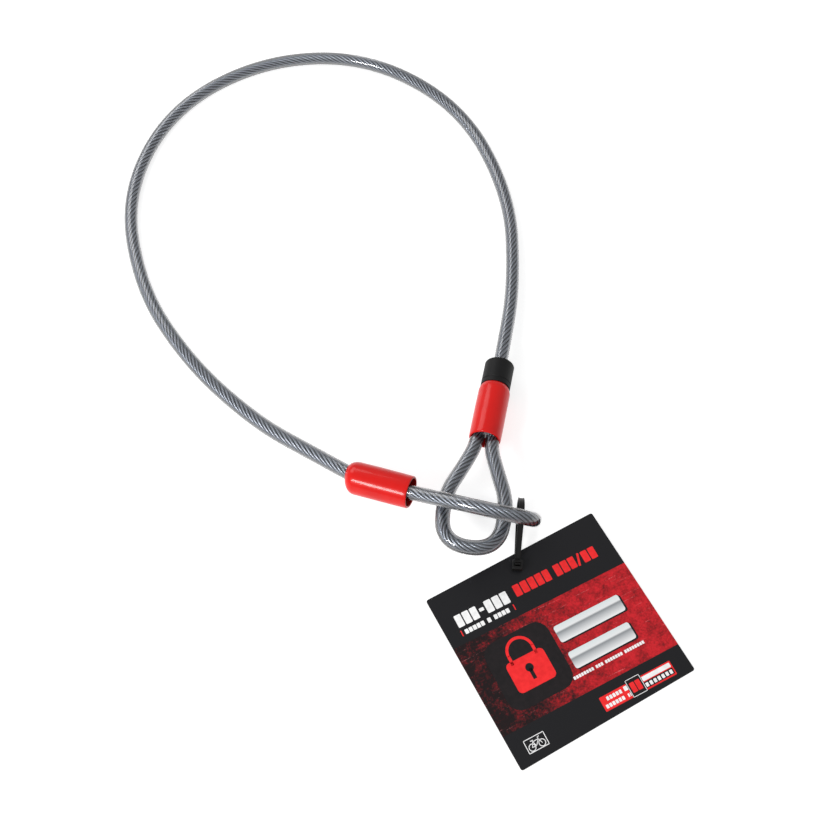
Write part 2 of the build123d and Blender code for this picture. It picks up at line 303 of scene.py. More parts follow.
def black_moulded_plastic(name, light, dark, grain, roughness):
    """injection-moulded polypropylene or nylon: black, with the fine spark-eroded
    grain of the mould and a slow random change of tone"""
    material, tree, output = new_material(name)
    place = add_node(tree, "ShaderNodeTexCoord").outputs["Object"]
    fine = add_node(tree, "ShaderNodeTexNoise", {"Vector": place, "Scale": 1 / (grain * MM), "Detail": 4.0})
    wide = add_node(tree, "ShaderNodeTexNoise", {"Vector": place, "Scale": 1 / (12 * MM)})
    colour = add_node(tree, "ShaderNodeValToRGB", {"Fac": wide.outputs["Fac"]},
                      stops=[(0.35, linear(dark)), (0.65, linear(light))])
    rough = add_node(tree, "ShaderNodeMapRange",
                     {"Value": fine.outputs["Fac"], "To Min": roughness - 0.08, "To Max": roughness + 0.08})
    bump = add_node(tree, "ShaderNodeBump",
                    {"Height": fine.outputs["Fac"], "Strength": 0.2, "Distance": 0.1 * MM})
    plastic = add_node(tree, "ShaderNodeBsdfPrincipled",
                       {"Base Color": colour.outputs["Color"], "Roughness": rough.outputs[0],
                        "IOR": 1.5, "Specular IOR Level": 0.22, "Normal": bump.outputs["Normal"]})
    tree.links.new(plastic.outputs[0], output.inputs["Surface"])
    return material


def pressed_aluminium():
    """a drawn aluminium sleeve squeezed in a press: satin, with fine drag marks"""
    material, tree, output = new_material("pressed_aluminium")
    place = add_node(tree, "ShaderNodeTexCoord").outputs["Object"]
    drag = add_node(tree, "ShaderNodeTexNoise", {"Vector": place, "Scale": 1 / (0.6 * MM), "Detail": 4.0})
    colour = add_node(tree, "ShaderNodeValToRGB", {"Fac": drag.outputs["Fac"]},
                      stops=[(0.3, linear("#9FA1A3")), (0.7, linear("#C9CBCC"))])
    rough = add_node(tree, "ShaderNodeMapRange",
                     {"Value": drag.outputs["Fac"], "To Min": 0.3, "To Max": 0.5})
    sleeve = add_node(tree, "ShaderNodeBsdfPrincipled",
                      {"Base Color": colour.outputs["Color"], "Metallic": 1.0,
                       "Roughness": rough.outputs[0]})
    tree.links.new(sleeve.outputs[0], output.inputs["Surface"])
    return material


def print_place(tree):
    """millimetres across, up and out of the tag's print, from its middle"""
    place = add_node(tree, "ShaderNodeTexCoord").outputs["Object"]
    on_tag = add_node(tree, "ShaderNodeMapping", {"Vector": place}, vector_type="TEXTURE")
    on_tag.inputs["Location"].default_value = PRINT.translation
    on_tag.inputs["Rotation"].default_value = PRINT.to_euler()
    on_tag.inputs["Scale"].default_value = (MM, MM, MM)
    return on_tag.outputs[0]


def coated_card():
    """folding boxboard, printed and varnished: a black field, a red panel worn like
    scratched paint that darkens to the left, and grey board at the cut edges"""
    material, tree, output = new_material("printed_coated_card")
    on_tag = print_place(tree)
    parts = add_node(tree, "ShaderNodeSeparateXYZ", {"Vector": on_tag})
    across, up, deep = parts.outputs["X"], parts.outputs["Y"], parts.outputs["Z"]

    # the panel's place, its shade from left to right and its wear, all in mm
    below = add_node(tree, "ShaderNodeMath", {0: up, 1: PANEL_TOP}, operation="LESS_THAN")
    above = add_node(tree, "ShaderNodeMath", {0: up, 1: PANEL_LOW}, operation="GREATER_THAN")
    panel = add_node(tree, "ShaderNodeMath", {0: below.outputs[0], 1: above.outputs[0]}, operation="MULTIPLY")
    shade = add_node(tree, "ShaderNodeMapRange",
                     {"Value": across, "From Min": -66.0, "From Max": 30.0, "To Min": 0.10, "To Max": 0.86},
                     interpolation_type="SMOOTHSTEP")
    blots = add_node(tree, "ShaderNodeTexNoise",
                     {"Vector": on_tag, "Scale": 1 / 9, "Detail": 8.0, "Roughness": 0.68})
    specks = add_node(tree, "ShaderNodeTexNoise",
                      {"Vector": on_tag, "Scale": 1 / 1.6, "Detail": 4.0, "Roughness": 0.7})
    wear = add_node(tree, "ShaderNodeMapRange",
                    {"Value": blots.outputs["Fac"], "From Min": 0.35, "From Max": 0.60,
                     "To Min": -0.34, "To Max": 0.16})
    grit = add_node(tree, "ShaderNodeMapRange",
                    {"Value": specks.outputs["Fac"], "From Min": 0.3, "From Max": 0.7,
                     "To Min": -0.34, "To Max": 0.22})
    worn = add_node(tree, "ShaderNodeMath", {0: shade.outputs[0], 1: wear.outputs[0]}, operation="ADD")
    gritty = add_node(tree, "ShaderNodeMath", {0: worn.outputs[0], 1: grit.outputs[0]}, operation="ADD")
    red = add_node(tree, "ShaderNodeValToRGB", {"Fac": gritty.outputs[0]},
                   stops=[(0.0, linear("#160A0C")), (0.26, linear("#4E0F14")), (0.6, linear("#9C121A")),
                          (1.0, linear("#C81D27"))])
    # long thin scratches, paler than the paint, in some places only
    drawn = add_node(tree, "ShaderNodeMapping", {"Vector": on_tag})
    drawn.inputs["Rotation"].default_value = (0, 0, math.radians(4))
    drawn.inputs["Scale"].default_value = (1 / 34, 1 / 1.1, 1)
    lines = add_node(tree, "ShaderNodeTexNoise", {"Vector": drawn.outputs[0], "Scale": 1.0, "Detail": 5.0,
                                                  "Roughness": 0.62, "Distortion": 0.25})
    hair = add_node(tree, "ShaderNodeMapRange",
                    {"Value": lines.outputs["Fac"], "From Min": 0.63, "From Max": 0.66, "To Min": 0.0,
                     "To Max": 0.55})
    broken = add_node(tree, "ShaderNodeMapRange",
                      {"Value": specks.outputs["Fac"], "From Min": 0.42, "From Max": 0.56, "To Min": 0.0,
                       "To Max": 1.0})
    scratch = add_node(tree, "ShaderNodeMath", {0: hair.outputs[0], 1: broken.outputs[0]},
                       operation="MULTIPLY")
    cracked = add_node(tree, "ShaderNodeMix", {"Factor": scratch.outputs[0], 6: red.outputs["Color"],
                                               7: linear("#D98F90")}, data_type="RGBA")
    field = add_node(tree, "ShaderNodeMix", {"Factor": panel.outputs[0], 6: linear("#151518"),
                                             7: cracked.outputs[2]}, data_type="RGBA")
    # the print is on the top face only; below it is the board itself
    printed = add_node(tree, "ShaderNodeMath", {0: deep, 1: -0.04}, operation="GREATER_THAN")
    fibres = add_node(tree, "ShaderNodeTexNoise",
                      {"Vector": on_tag, "Scale": 1 / 0.7, "Detail": 5.0})
    board = add_node(tree, "ShaderNodeValToRGB", {"Fac": fibres.outputs["Fac"]},
                     stops=[(0.3, linear("#3B3531")), (0.7, linear("#5A534C"))])
    colour = add_node(tree, "ShaderNodeMix", {"Factor": printed.outputs[0], 6: board.outputs["Color"],
                                              7: field.outputs[2]}, data_type="RGBA")
    rough = add_node(tree, "ShaderNodeMapRange",
                     {"Value": fibres.outputs["Fac"], "To Min": 0.34, "To Max": 0.46})
    bump = add_node(tree, "ShaderNodeBump",
                    {"Height": fibres.outputs["Fac"], "Strength": 0.06, "Distance": 0.1 * MM})
    card = add_node(tree, "ShaderNodeBsdfPrincipled",
                    {"Base Color": colour.outputs[2], "Roughness": rough.outputs[0], "IOR": 1.5,
                     "Specular IOR Level": 0.25, "Normal": bump.outputs["Normal"]})
    tree.links.new(card.outputs[0], output.inputs["Surface"])
    return material


def printing_ink(name, light, dark, roughness):
    """screen-printed ink on the card: flat, with the light mottle of a
    thin layer"""
    material, tree, output = new_material(name)
    place = add_node(tree, "ShaderNodeTexCoord").outputs["Object"]
    mottle = add_node(tree, "ShaderNodeTexNoise", {"Vector": place, "Scale": 1 / (3 * MM), "Detail": 3.0})
    colour = add_node(tree, "ShaderNodeValToRGB", {"Fac": mottle.outputs["Fac"]},
                      stops=[(0.35, linear(dark)), (0.65, linear(light))])
    rough = add_node(tree, "ShaderNodeMapRange",
                     {"Value": mottle.outputs["Fac"], "To Min": roughness - 0.05, "To Max": roughness + 0.05})
    ink = add_node(tree, "ShaderNodeBsdfPrincipled",
                   {"Base Color": colour.outputs["Color"], "Roughness": rough.outputs[0],
                    "Specular IOR Level": 0.25})
    tree.links.new(ink.outputs[0], output.inputs["Surface"])
    return material


def silver_foil():
    """hot-stamped silver foil, brushed to dark and light bands across its height"""
    material, tree, output = new_material("silver_foil")
    on_tag = print_place(tree)
    up = add_node(tree, "ShaderNodeSeparateXYZ", {"Vector": on_tag}).outputs["Y"]
    row = add_node(tree, "ShaderNodeMath", {0: up, 1: FOIL_LOW}, operation="SUBTRACT")
    share = add_node(tree, "ShaderNodeMath", {0: row.outputs[0], 1: 1 / FOIL_PITCH}, operation="MULTIPLY")
    band = add_node(tree, "ShaderNodeMath", {0: share.outputs[0]}, operation="FRACT")
    colour = add_node(tree, "ShaderNodeValToRGB", {"Fac": band.outputs[0]},
                      stops=[(0.0, linear("#F4F5F6")), (0.26, linear("#B6B9BC")), (0.36, linear("#8E9296")),
                             (0.42, linear("#EDEEEF")), (0.72, linear("#D3E4E6"))])
    foil = add_node(tree, "ShaderNodeBsdfPrincipled",
                    {"Base Color": colour.outputs["Color"], "Metallic": 0.25, "Roughness": 0.3})
    tree.links.new(foil.outputs[0], output.inputs["Surface"])
    return material


# ---------------------------------------------------------------- tag plane
TAG_HEADING = math.radians(28.6)            # direction of its top edge
TAG_LIFT = math.radians(1.15)               # the top edge rests on the tie
PANEL_TOP = 22.0                            # red panel, mm above the middle
PANEL_LOW = -39.5
FOIL_LOW = -24.0                            # lower edge of the lower foil bar
FOIL_PITCH = 18.5
tag_across = Vector((math.cos(TAG_HEADING), math.sin(TAG_HEADING), 0))
tag_level = Vector((-tag_across.y, tag_across.x, 0))
tag_up = tag_level * math.cos(TAG_LIFT) + Vector((0, 0, 1)) * math.sin(TAG_LIFT)
tag_face = tag_across.cross(tag_up)
tag_centre = Vector((118.2 * MM, -211.5 * MM, TAG_HEIGHT / 2 * math.sin(TAG_LIFT)))
# the middle of the printed face, x across, y up the tag, z out of it
TAG = Matrix((tag_across, tag_up, tag_face)).transposed().to_4x4()
TAG.translation = tag_centre + tag_face * TAG_THICK
# the card is cut a little askew of its print
PRINT = TAG @ Matrix.Rotation(math.radians(-1.7), 4, "Z")
TAG_HOLE_UP = 51.5

PVC = clear_smoky_pvc()
WIRE = bright_steel_wire()
CORE = dark_shade_core()
VINYL = red_dipped_vinyl()
COLLAR_PLASTIC = black_moulded_plastic("black_moulded_polypropylene", "#0E0E0F", "#0A0A0B", 0.5, 0.55)
TIE_NYLON = black_moulded_plastic("black_moulded_nylon", "#171616", "#0F0F0F", 0.8, 0.38)
SLEEVE = pressed_aluminium()
CARD = coated_card()
INKS = {
    "white": printing_ink("white_ink", "#F4F4F4", "#E6E6E6", 0.45),
    "red": printing_ink("red_ink", "#EE2A2C", "#E02326", 0.42),
    "black": printing_ink("black_ink", "#1B1618", "#141113", 0.4),
    "silver": silver_foil(),
}


# ---------------------------------------------------------------- rope
def transported_sides(line):
    """tangents of a line and sideways directions that never twist about it"""
    tangents = [(after - before).normalized()
                for before, after in zip([line[0]] + line[:-1], line[1:] + [line[-1]])]
    side = tangents[0].orthogonal().normalized()
    sides = []
    for tangent in tangents:
        side = (side - tangent * side.dot(tangent)).normalized()
        sides.append(side)
    return tangents, sides


def tube_rings(centres, radius, count, outward):
    """rings of points round a line; outward gives each ring's first direction"""
    rings = []
    for i, centre in enumerate(centres):
        before, after = centres[max(i - 1, 0)], centres[min(i + 1, len(centres) - 1)]
        tangent = (after - before).normalized()
        one = (outward[i] - tangent * outward[i].dot(tangent)).normalized()
        two = tangent.cross(one)
        rings.append([centre + (one * math.cos(angle) + two * math.sin(angle)) * radius
                      for angle in (math.tau * k / count for k in range(count))])
    return rings


def wound_rope(name, line, into_start, into_end):
    """outer strands wound right-handed round a core, along a jacket's line and
    straight on into the ferrule at both ends"""
    steps = 4
    start = (line[0] - line[1]).normalized() * into_start
    end = (line[-1] - line[-2]).normalized() * into_end
    line = ([line[0] + start * (steps - k) / steps for k in range(steps)] + line
            + [line[-1] + end * (k + 1) / steps for k in range(steps)])
    tangents, sides = transported_sides(line)
    along = [0.0]
    for before, here in zip(line, line[1:]):
        along.append(along[-1] + (here - before).length)

    # strands just touch each other round the rope
    share = math.sin(math.pi / STRANDS)
    helix = R_ROPE / (1 + share)
    strand_radius = R_ROPE - helix
    strand_sides, core_sides = 8, 10
    points, faces, uvs, slots = [], [], [], []

    def add_tube(rings, slot):
        first, count = len(points), len(rings[0])
        for ring in rings:
            points.extend(ring)
        for i in range(len(rings) - 1):
            for k in range(count):
                after = (k + 1) % count
                low, high = first + i * count, first + (i + 1) * count
                faces.append((low + k, low + after, high + after, high + k))
                slots.append(slot)
                for row, step in ((i, k), (i, k + 1), (i + 1, k + 1), (i + 1, k)):
                    uvs.append((along[row] / MM, step / count))
        for ring_start, turn in ((first, -1), (first + (len(rings) - 1) * count, 1)):
            faces.append(tuple(ring_start + k for k in range(count))[::turn])
            slots.append(slot)
            uvs.extend([(0.0, 0.0)] * count)

    for strand in range(STRANDS):
        phase = math.tau * strand / STRANDS
        outward = []
        for tangent, side, length in zip(tangents, sides, along):
            angle = math.tau * length / LAY_LENGTH + phase
            outward.append(side * math.cos(angle) + tangent.cross(side) * math.sin(angle))
        centres = [place + out * helix for place, out in zip(line, outward)]
        add_tube(tube_rings(centres, strand_radius, strand_sides, outward), 0)
    # the core, in its near-black finish of painted shade, fills the gaps between the strands
    add_tube(tube_rings(line, helix - 0.1 * MM, core_sides, sides), 1)

    mesh = bpy.data.meshes.new(name)
    mesh.from_pydata([tuple(p) for p in points], [], faces)
    mesh.materials.append(WIRE)
    mesh.materials.append(CORE)
    mesh.polygons.foreach_set("material_index", slots)
    layer = mesh.uv_layers.new(name="along_and_round")
    layer.data.foreach_set("uv", [value for uv in uvs for value in uv])
    mesh.shade_smooth()
    made = bpy.data.objects.new(name, mesh)
    bpy.context.scene.collection.objects.link(made)
    return made


for piece in (main_jacket, eye_a_jacket, eye_b_jacket):
    piece.data.materials.append(PVC)
main_rope = wound_rope("main_rope_strands", main_line, 8 * MM, 8 * MM)
eye_a_rope = wound_rope("eye_a_rope_strands", eye_a_line, 8 * MM, 14 * MM)
eye_b_rope = wound_rope("eye_b_rope_strands", eye_b_line, 8 * MM, 14 * MM)

for piece, rope, node_jacket, node_rope, line, length in (
        (main_jacket, main_rope, "main_jacket", "main_rope", main_line, 1.008),
        (eye_a_jacket, eye_a_rope, "eye_a_jacket", "eye_a_rope", eye_a_line, 0.203),
        (eye_b_jacket, eye_b_rope, "eye_b_jacket", "eye_b_rope", eye_b_line, 0.200)):
    for part, node_name, slot_name in ((piece, node_jacket, "clear_jacket"), (rope, node_rope, "wire_rope")):
        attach(part, "cable")
        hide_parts(node_name)

# ---------------------------------------------------------------- end caps
CAP_OUT = 11.2                 # mm, as the CAD caps
CAP_ROUND = 9.0
CAP_WALL = 0.85
CAP_LIP = 1.5                  # the mouth is a soft rounded bead


def arc(middle, radius, start, end, steps):
    """points of an arc of a profile, angles in degrees"""
    turns = [math.radians(start + (end - start) * k / steps) for k in range(steps + 1)]
    return [(middle[0] + radius * math.cos(a), middle[1] + radius * math.sin(a)) for a in turns]


def soft_cap(name, cap, line, length, shoulder):
    """dipped thimble: its wall spun round the axis, the hole in its closed end
    stretched over the cable where that runs through, the wall a little uneven"""
    back = -length
    hole = R_CABLE / MM + 0.12
    rim = CAP_OUT - 0.2
    outside = ([(hole, back + 1.5), (hole, back + 0.5), (hole + 0.5, back)]
               + arc((CAP_OUT - shoulder, back + shoulder), shoulder, -90, 0, 10)
               + [(CAP_OUT, -0.55 * length), (CAP_OUT, -9), (CAP_OUT - 0.1, -3)]
               + arc((rim - CAP_LIP / 2, -CAP_LIP / 2), CAP_LIP / 2, 0, 180, 8)
               + [(rim - CAP_LIP + 0.15, -3), (CAP_OUT - CAP_WALL, -8)])
    inside = arc((CAP_OUT - shoulder, back + shoulder), shoulder - CAP_WALL, 0, -90, 6) + [(hole, back + 1.5)]
    profile = outside + inside
    mesh = bpy.data.meshes.new(name)
    edges = [(k, k + 1) for k in range(len(profile) - 1)]
    mesh.from_pydata([(r * MM, 0, s * MM) for r, s in profile], edges, [])
    made = bpy.data.objects.new(name, mesh)
    bpy.context.scene.collection.objects.link(made)
    bpy.ops.object.select_all(action="DESELECT")
    made.select_set(True)
    bpy.context.view_layer.objects.active = made
    bpy.ops.object.mode_set(mode="EDIT")
    bpy.ops.mesh.select_all(action="SELECT")
    bpy.ops.mesh.spin(steps=72, angle=math.tau, center=(0, 0, 0), axis=(0, 0, 1))
    bpy.ops.mesh.select_all(action="SELECT")
    bpy.ops.mesh.remove_doubles(threshold=0.01 * MM)
    bpy.ops.mesh.normals_make_consistent(inside=False)
    bpy.ops.object.mode_set(mode="OBJECT")
    # the closed end follows the cable
    level = cap.mouth + cap.axis * (back + 0.8) * MM
    crossing = min(line, key=lambda place: abs((place - level).dot(cap.axis)) + (place - level).length / 4)
    shift_t = (crossing - cap.mouth).dot(cap.side) / MM
    shift_n = (crossing - cap.mouth).dot(cap.normal) / MM
    for vertex in made.data.vertices:
        radius = math.hypot(vertex.co.x, vertex.co.y) / MM
        share = (CAP_OUT - radius) / (CAP_OUT - hole)
        if vertex.co.z / MM < back + shoulder and share > 0:
            vertex.co.x += shift_t * min(share, 1) * MM
            vertex.co.y += shift_n * min(share, 1) * MM
    wall = bpy.data.textures.new(name, "CLOUDS")
    wall.noise_scale = 16 * MM
    uneven = made.modifiers.new("uneven", "DISPLACE")
    uneven.texture = wall
    uneven.texture_coords = "LOCAL"
    uneven.strength = 0.35 * MM
    bpy.ops.object.modifier_apply(modifier="uneven")
    place = Matrix((cap.side, cap.normal, cap.axis)).transposed().to_4x4()
    place.translation = cap.mouth
    made.data.transform(place)
    bpy.ops.object.shade_smooth()
    return made


cap_a = soft_cap("cap_a_vinyl", CAP_A, main_line, 46.4, 7.6)
cap_b = soft_cap("cap_b_vinyl", CAP_B, main_line, 47.5, CAP_ROUND)
for piece, node_name in ((cap_a, "cap_a"), (cap_b, "cap_b")):
    piece.data.materials.append(VINYL)
    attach(piece, "cable")
    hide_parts(node_name)

# ---------------------------------------------------------------- print on the tag
INK_THICK = 0.06               # mm
STAMP_CORNER = 0.16            # of the unit bar that the printed bars are copied from


def apply_place(piece, place):
    """moves a piece's mesh to its place and leaves the object at the origin"""
    piece.data.transform(place @ piece.matrix_world)
    piece.matrix_world = Matrix.Identity(4)


def join_pieces(name, pieces):
    """one piece from several, with the first one's finish"""
    bpy.ops.object.select_all(action="DESELECT")
    for piece in pieces:
        piece.select_set(True)
    bpy.context.view_layer.objects.active = pieces[0]
    bpy.ops.object.join()
    pieces[0].name = name
    pieces[0].data.name = name
    return pieces[0]


def printed_stamp():
    """a bar of ink 1 mm square and 1 mm high with rounded corners, to be copied"""
    bpy.ops.object.select_all(action="DESELECT")
    bpy.ops.mesh.primitive_plane_add(size=1)
    stamp = bpy.context.active_object
    bpy.ops.object.mode_set(mode="EDIT")
    bpy.ops.mesh.select_all(action="SELECT")
    bpy.ops.mesh.bevel(offset=STAMP_CORNER, segments=4, affect="VERTICES")
    bpy.ops.mesh.extrude_region_move(TRANSFORM_OT_translate={"value": (0, 0, 1)})
    bpy.ops.mesh.select_all(action="SELECT")
    bpy.ops.mesh.normals_make_consistent(inside=False)
    bpy.ops.object.mode_set(mode="OBJECT")
    return stamp


def printed_ring():
    """a flat ring of ink, 1 mm outer radius and 1 mm high, to be copied"""
    bpy.ops.object.select_all(action="DESELECT")
    bpy.ops.mesh.primitive_circle_add(vertices=40, radius=1, fill_type="NGON")
    ring = bpy.context.active_object
    bpy.ops.object.mode_set(mode="EDIT")
    bpy.ops.mesh.select_all(action="SELECT")
    bpy.ops.mesh.inset(thickness=0.2)
    bpy.ops.mesh.delete(type="FACE")
    bpy.ops.mesh.select_all(action="SELECT")
    bpy.ops.mesh.extrude_region_move(TRANSFORM_OT_translate={"value": (0, 0, 1)})
    bpy.ops.mesh.select_all(action="SELECT")
    bpy.ops.mesh.normals_make_consistent(inside=False)
    bpy.ops.object.mode_set(mode="OBJECT")
    return ring


STAMP = printed_stamp()
RING = printed_ring()


def copied(source, across, up, width, height, turn=0.0, layer=0, corner=0.0):
    """a copy of a printed shape with its own mesh, in mm on the tag's face; a bar's
    corners keep their radius whatever its width and height"""
    made = source.copy()
    made.data = source.data.copy()
    bpy.context.scene.collection.objects.link(made)
    if corner:
        for vertex in made.data.vertices:
            for axis, size in ((0, width), (1, height)):
                place = vertex.co[axis]
                inset = (0.5 - abs(place)) * corner / STAMP_CORNER / size
                vertex.co[axis] = math.copysign(0.5 - inset, place)
    place = (Matrix.Translation((across, up, layer * INK_THICK)) @ Matrix.Rotation(turn, 4, "Z")
             @ Matrix.Diagonal((width, height, INK_THICK, 1)))
    made.data.transform(Matrix.Scale(MM, 4) @ place)
    made.data.transform(PRINT)
    return made


def bar(across, up, width, height, layer=0, corner=None):
    """a printed bar from its lower left corner"""
    if corner is None:
        corner = 0.14 * min(width, height)
    return copied(STAMP, across + width / 2, up + height / 2, width, height, 0.0, layer, corner)


def stroke(start, end, width, layer=0):
    """a printed line from one point to another"""
    (x0, y0), (x1, y1) = start, end
    length = math.hypot(x1 - x0, y1 - y0)
    return copied(STAMP, (x0 + x1) / 2, (y0 + y1) / 2, length + width, width,
                  math.atan2(y1 - y0, x1 - x0), layer, width / 3)


def word_row(across, up, height, words, letter, gap, space):
    """a row of text set as plain blocks: how many in each word, in mm"""
    blocks = []
    for count in words:
        for _ in range(count):
            blocks.append(bar(across, up, letter, height))
            across += letter + gap
        across += space
    return blocks


def frame_lines(across, up, width, height, line, layer=0):
    """the four printed sides of a box"""
    return [bar(across, up, width, line, layer=layer),
            bar(across, up + height - line, width, line, layer=layer),
            bar(across, up, line, height, layer=layer),
            bar(across + width - line, up, line, height, layer=layer)]


def heading_print():
    """two rows of a heading and its ticks"""
    white = word_row(-54.8, 32.4, 8.4, (3,), 4.6, 0.9, 0)
    white.append(bar(-37.8, 35.7, 3.2, 2.2))
    white += word_row(-33.2, 32.4, 8.4, (3,), 4.9, 0.9, 0)
    white += word_row(-52.6, 26.9, 3.1, (5, 1, 4), 2.4, 0.5, 1.9)
    red = word_row(-11.4, 33.5, 8.0, (5, 3), 4.6, 0.9, 3.0)
    red.append(stroke((36.2, 34.0), (38.4, 41.0), 1.5))
    red += word_row(40.2, 33.5, 8.0, (2,), 4.6, 0.9, 0)
    red += [bar(-55.2, 26.6, 0.7, 3.9), bar(-16.8, 26.6, 0.7, 3.9)]
    return white, red


def padlock_print():
    """a plain padlock on a dark square patch"""
    middle, foot = -27.0, -22.0
    patch = [bar(middle - 23, -31.3, 46, 46, corner=9)]
    lock = [bar(middle - 13.5, foot, 27, 20.5, layer=1, corner=3)]
    bow = copied(RING, middle, foot + 24.0, 9.6, 9.6, layer=1)
    sides = [bar(middle - 9.6, foot + 18, 2.0, 6.5, layer=1), bar(middle + 7.6, foot + 18, 2.0, 6.5, layer=1)]
    keyhole = [copied(STAMP, middle, foot + 12.4, 5.4, 5.4, math.pi / 4, 2, 2.6),
               bar(middle - 1.2, foot + 4.6, 2.4, 7.2, layer=2)]
    bpy.ops.object.select_all(action="DESELECT")
    bow.select_set(True)
    bpy.context.view_layer.objects.active = bow
    bpy.ops.object.mode_set(mode="EDIT")
    bpy.ops.mesh.select_all(action="SELECT")
    cut = PRINT @ (Vector((middle, foot + 24.0, 0)) * MM)
    bpy.ops.mesh.bisect(plane_co=cut, plane_no=PRINT.to_3x3() @ Vector((0, 1, 0)), clear_inner=True,
                        use_fill=True)
    bpy.ops.object.mode_set(mode="OBJECT")
    return patch + keyhole, lock + [bow] + sides


def foil_print():
    """two plain foil bars and the dark shadow printed under each"""
    bars, shadows = [], []
    for low, length in ((FOIL_LOW + FOIL_PITCH, 48.5), (FOIL_LOW, 45.0)):
        bars.append(bar(-1.0, low, length, 11.4, layer=2, corner=1.6))
        shadows.append(bar(-0.2, low - 1.0, length + 0.4, 11.6, layer=1, corner=1.6))
    return bars, shadows


def rating_print():
    """a strength scale: a red plate, a white strip with steps and a black marker"""
    plate = [bar(2.0, -55.2, 52.2, 9.4, corner=0.5)]
    strip = [bar(32.6, -49.6, 20.6, 2.9, layer=1)]
    strip += [bar(19.0, -49.6, 2.8, 2.9, layer=1), bar(19.4, -53.8, 1.0, 2.2, layer=1),
              bar(21.0, -53.8, 1.0, 2.2, layer=1)]
    steps = [bar(32.8 + 2.95 * k, -53.6, 2.0, 2.6, layer=2) for k in range(7)]
    words = [bar(left + 2.3 * k, up, 1.75, 2.4, layer=1)
             for up, left, count in ((-49.6, 6.2, 5), (-53.8, 3.6, 6)) for k in range(count)]
    shade = [bar(32.0, -54.2, 21.4, 4.0, layer=1)]
    marker = [bar(21.6, -55.8, 10.8, 12.0, layer=2, corner=1.4)]
    rim = frame_lines(21.9, -55.5, 10.2, 11.4, 0.35, layer=3)
    number = [bar(23.4 + 3.9 * k, -53.0, 3.3, 6.4, layer=3) for k in range(2)]
    return plate + number, strip + steps + words + rim, shade + marker


def bicycle_print():
    """a small bicycle in a box"""
    lines = frame_lines(-53.2, -55.7, 14.2, 8.6, 0.45)
    back, front = (-49.6, -52.9), (-42.7, -52.9)
    crank, seat, head = (-46.7, -53.0), (-47.9, -50.0), (-43.8, -49.8)
    wheels = [copied(RING, *hub, 2.35, 2.35) for hub in (back, front)]
    for start, end in ((back, crank), (back, seat), (crank, seat), (crank, head), (seat, head),
                       (head, front), (head, (-44.1, -48.7)), ((-44.1, -48.7), (-42.9, -48.5)),
                       (seat, (-48.2, -49.2)), ((-49.0, -49.1), (-47.4, -49.1))):
        lines.append(stroke(start, end, 0.42))
    return lines + wheels


heading_white, heading_red = heading_print()
padlock_black, padlock_red = padlock_print()
rating_red, rating_white, rating_black = rating_print()
foil_bars, foil_shadows = foil_print()
line_under = word_row(-5.6, -29.4, 2.0, (8, 3, 7, 8), 1.5, 0.36, 1.35)
for name, ink, shapes in (
        ("heading_white", "white", heading_white), ("heading_red", "red", heading_red),
        ("padlock_patch", "black", padlock_black), ("padlock_shape", "red", padlock_red),
        ("rating_plate", "red", rating_red), ("rating_steps", "white", rating_white),
        ("rating_marker", "black", rating_black), ("bicycle_sign", "white", bicycle_print()),
        ("foil_shadows", "black", foil_shadows), ("foil_bars", "silver", foil_bars),
        ("line_under_foil", "white", line_under)):
    piece = join_pieces("tag_" + name, shapes)
    piece.data.materials.clear()
    piece.data.materials.append(INKS[ink])
    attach(piece, "tag")
for source in (STAMP, RING):
    bpy.data.objects.remove(source)

# ---------------------------------------------------------------- cable tie
TIE_WIDTH = 3.8
TIE_THICK = 1.2
hole_low = tag_centre + tag_up * TAG_HOLE_UP * MM
hole_top = hole_low + tag_face * TAG_THICK
tie_along = Vector((0.085, 0.996, 0)).normalized()
tie_side = tie_along.cross(Vector((0, 0, 1)))
Z_HEAD = hole_top.z / MM + 0.15
HEAD_HEIGHT = 5.0
Z_UNDER = 1.35


def on_tie(along, height, aside=0.0):
    """a point of the tie's upright plane: mm from the hole, mm over the table"""
    return (Vector((hole_low.x, hole_low.y, 0)) + tie_along * along * MM
            + Vector((0, 0, 1)) * height * MM + tie_side * aside * MM)


tie_route = [on_tie(x, z) for x, z in (
    (2.6, Z_HEAD + 1.4), (8.5, Z_HEAD + 2.2), (27.5, 24.6), (38.5, 23.6), (46.0, 12.5),
    (40.0, Z_UNDER + 0.3), (24.0, Z_UNDER - 0.2), (4.0, Z_UNDER - 0.35), (0.0, Z_UNDER + 1.2),
    (0.0, Z_HEAD + HEAD_HEIGHT + 0.6))]


